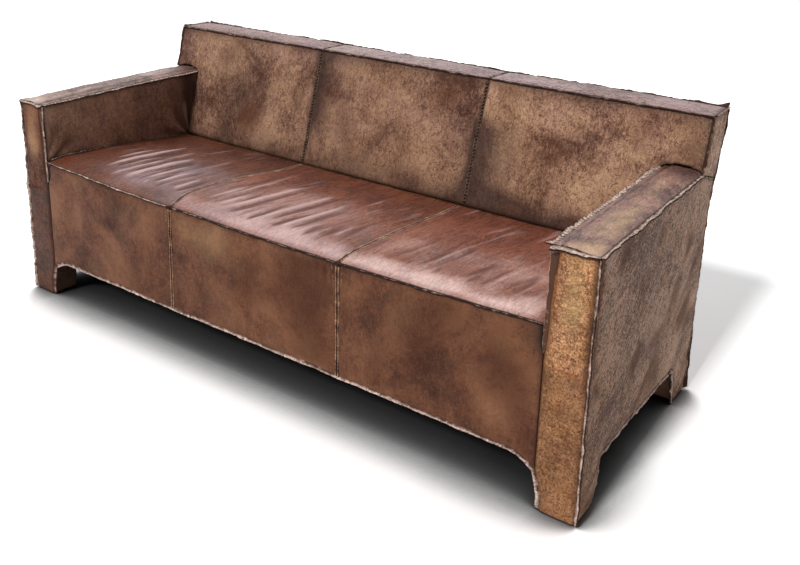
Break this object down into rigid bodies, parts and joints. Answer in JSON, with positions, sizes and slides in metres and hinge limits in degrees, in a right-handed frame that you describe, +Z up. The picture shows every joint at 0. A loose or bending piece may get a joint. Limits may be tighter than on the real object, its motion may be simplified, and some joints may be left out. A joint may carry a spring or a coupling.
{
  "type": "worn leather sofa",
  "caption": "Long low upholstered seat with flat panel arms, a raked back and short corner feet, in aged brown leather with turned-out raw-edge seams.",
  "frame": {"origin": "on the floor, under the middle of the sofa's bounding box", "axes": "+X to the right along the seat as seen from the front, -Y out of the front, +Z up"},
  "size_m": [1.9878, 0.8144, 0.8236],
  "materials": {
    "beech_timber": "planed, unfinished",
    "jute_webbing": "coarse woven",
    "upholstery_foam": "open-cell foam under wadding",
    "leather_seat": "reddish chestnut, polished by use, creased",
    "leather_body": "mid brown, mottled, dry",
    "leather_front": "golden tan, fine crease network",
    "leather_top": "rubbed pale with a pinkish sheen",
    "leather_end": "light beige, dry",
    "lining_cloth": "thin black bottom cloth",
    "foot_plastic": "black, moulded"
  },
  "bodies": {
    "root": {"front_rail": "beech_timber", "rear_rail": "beech_timber", "seat_bar_left": "beech_timber", "seat_bar_right": "beech_timber", "corner_block_front_left": "beech_timber", "corner_block_front_right": "beech_timber", "corner_block_rear_left": "beech_timber", "corner_block_rear_right": "beech_timber", "front_post_left": "beech_timber", "front_post_right": "beech_timber", "rear_post_left": "beech_timber", "rear_post_right": "beech_timber", "side_rail_left": "beech_timber", "side_rail_right": "beech_timber", "arm_board_left": "beech_timber", "arm_board_right": "beech_timber", "back_upright_left": "beech_timber", "back_upright_right": "beech_timber", "back_low_rail": "beech_timber", "back_top_rail": "beech_timber", "seat_webbing": "jute_webbing", "back_webbing": "jute_webbing", "seat_foam": "upholstery_foam", "back_foam": "upholstery_foam", "apron_lining": "upholstery_foam", "top_lining": "upholstery_foam", "arm_lining_left": "upholstery_foam", "arm_lining_right": "upholstery_foam", "seat_panel_left": "leather_seat", "seat_panel_middle": "leather_seat", "seat_panel_right": "leather_seat", "apron_left": "leather_body", "apron_middle": "leather_body", "apron_right": "leather_body", "back_panel_left": "leather_body", "back_panel_middle": "leather_body", "back_panel_right": "leather_body", "rear_panel": "leather_body", "arm_inner_left": "leather_body", "arm_inner_right": "leather_body", "arm_outer_left": "leather_body", "arm_outer_right": "leather_body", "leg_wrap_front_left": "leather_body", "leg_wrap_front_right": "leather_body", "leg_wrap_rear_left": "leather_body", "leg_wrap_rear_right": "leather_body", "arm_front_left": "leather_front", "arm_front_right": "leather_front", "top_panel_left": "leather_top", "top_panel_middle": "leather_top", "top_panel_right": "leather_top", "arm_top_left": "leather_top", "arm_top_right": "leather_top", "back_end_left": "leather_end", "back_end_right": "leather_end", "dust_cover": "lining_cloth", "foot_pad_front_left": "foot_plastic", "foot_pad_front_right": "foot_plastic", "foot_pad_rear_left": "foot_plastic", "foot_pad_rear_right": "foot_plastic"}
  },
  "joints": []
}
